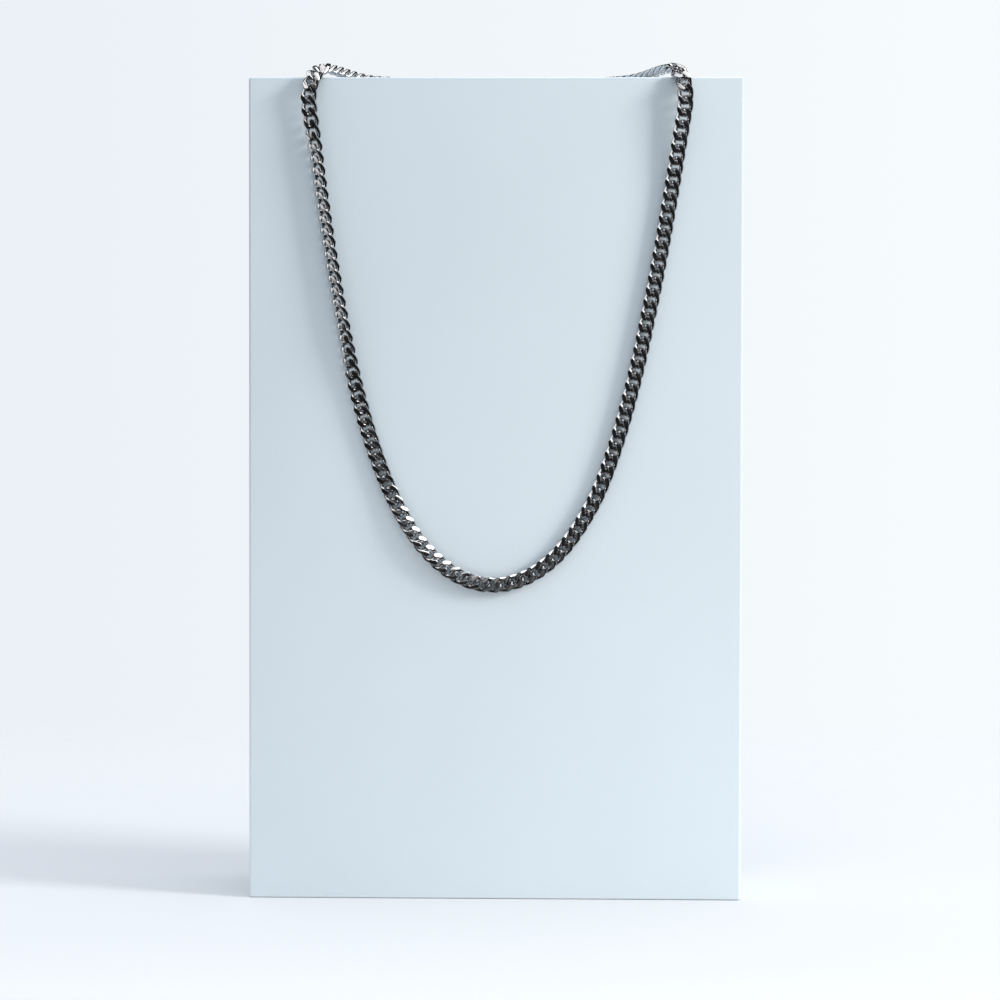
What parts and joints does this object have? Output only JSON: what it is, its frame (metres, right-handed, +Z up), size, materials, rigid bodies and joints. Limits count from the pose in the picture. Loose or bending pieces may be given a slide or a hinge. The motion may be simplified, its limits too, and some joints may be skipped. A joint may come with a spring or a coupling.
{
  "type": "curb chain necklace on display block",
  "caption": "Closed curb chain necklace of flattened twisted links, hung in a U over the front edge of a plain upright display block.",
  "frame": {"origin": "middle of the display block's underside", "axes": "+Z up, the front face with the drape faces -Y, +X is to the right seen from the front"},
  "size_m": [0.15, 0.0551, 0.2549],
  "materials": {
    "block_paint": "matte",
    "chain_steel": "polished"
  },
  "bodies": {
    "root": {"display_block": "block_paint", "chain_left": "chain_steel", "chain_right": "chain_steel", "clasp": "chain_steel"}
  },
  "joints": []
}
